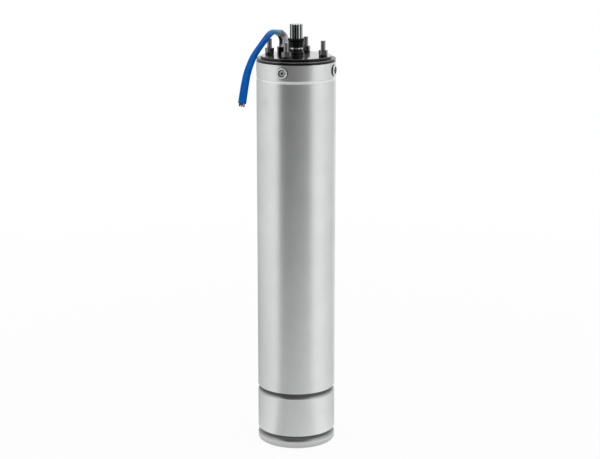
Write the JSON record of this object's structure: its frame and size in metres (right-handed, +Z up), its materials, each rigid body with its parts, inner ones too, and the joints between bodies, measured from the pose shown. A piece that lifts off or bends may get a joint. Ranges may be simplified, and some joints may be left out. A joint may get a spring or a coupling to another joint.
{
  "type": "borehole submersible motor",
  "caption": "Slim stainless submersible motor for a borehole pump: studded black flange, splined shaft end with sand slinger, flat blue lead.",
  "frame": {"origin": "middle of the flat foot ring at the motor's lower end", "axes": "+Z up the shaft towards the spline; +X and +Y each point at a stud and a case screw"},
  "size_m": [0.1092, 0.102, 0.5332],
  "materials": {
    "stainless_shell": "satin drawn stainless",
    "black_casting": "gloss black coat",
    "grey_casting": "as cast",
    "bright_steel": "bright stainless fasteners",
    "shaft_steel": "ground and splined",
    "bearing_steel": "ground",
    "lamination_steel": "stacked sheets",
    "cage_aluminium": "die cast",
    "winding_copper": "enamelled copper wire",
    "pin_brass": "turned",
    "seal_rubber": "moulded",
    "boot_rubber": "moulded, glossy",
    "blue_jacket": "smooth extruded jacket",
    "lead_insulation": "extruded",
    "seal_ceramic": "lapped ceramic",
    "seal_carbon": "lapped carbon"
  },
  "bodies": {
    "housing": {"stator_shell": "stainless_shell", "upper_flange": "black_casting", "flange_oring": "seal_rubber", "flange_studs": "bright_steel", "stud_nuts": "bright_steel", "spring_washers": "bright_steel", "case_screws": "bright_steel", "seal_seat": "seal_ceramic", "seal_seat_cup": "seal_rubber", "upper_outer_ring": "bearing_steel", "preload_ring": "bearing_steel", "stator_core": "lamination_steel", "stator_winding": "winding_copper", "winding_leads": "lead_insulation", "lower_bracket": "grey_casting", "bracket_oring": "seal_rubber", "thrust_outer_ring": "bearing_steel", "thrust_retaining_ring": "bearing_steel", "diaphragm": "seal_rubber", "bottom_cover": "black_casting", "lead_plug": "seal_rubber", "plug_pins": "pin_brass", "lead_gland": "black_casting", "lead_boot": "boot_rubber", "lead_cable": "blue_jacket", "lead_cores": "winding_copper"},
    "rotor": {"rotor_shaft": "shaft_steel", "rotor_core": "lamination_steel", "rotor_cage": "cage_aluminium", "sand_slinger": "seal_rubber", "seal_head": "seal_carbon", "seal_bellows": "seal_rubber", "seal_spring": "bearing_steel", "seal_drive_ring": "bearing_steel", "upper_inner_ring": "bearing_steel", "thrust_inner_ring": "bearing_steel", "lock_washer": "bearing_steel", "lock_nut": "bearing_steel"},
    "upper_ball_set": {"upper_balls": "bearing_steel", "upper_cage": "pin_brass"},
    "thrust_ball_set": {"thrust_balls": "bearing_steel", "thrust_cage": "pin_brass"}
  },
  "joints": [
    {"name": "rotor_spin", "type": "hinge", "parent": "housing", "child": "rotor", "pos_m": [0, 0, 0.4524], "axis": [0, 0, 1], "continuous": true},
    {"name": "upper_cage_spin", "type": "hinge", "parent": "housing", "child": "upper_ball_set", "pos_m": [0, 0, 0.4524], "axis": [0, 0, 1], "continuous": true},
    {"name": "thrust_cage_spin", "type": "hinge", "parent": "housing", "child": "thrust_ball_set", "pos_m": [0, 0, 0.0825], "axis": [0, 0, 1], "continuous": true}
  ],
  "couplings": [
    {"joint": "upper_cage_spin", "follows": "rotor_spin", "ratio": 0.3816},
    {"joint": "thrust_cage_spin", "follows": "rotor_spin", "ratio": 0.3815}
  ]
}
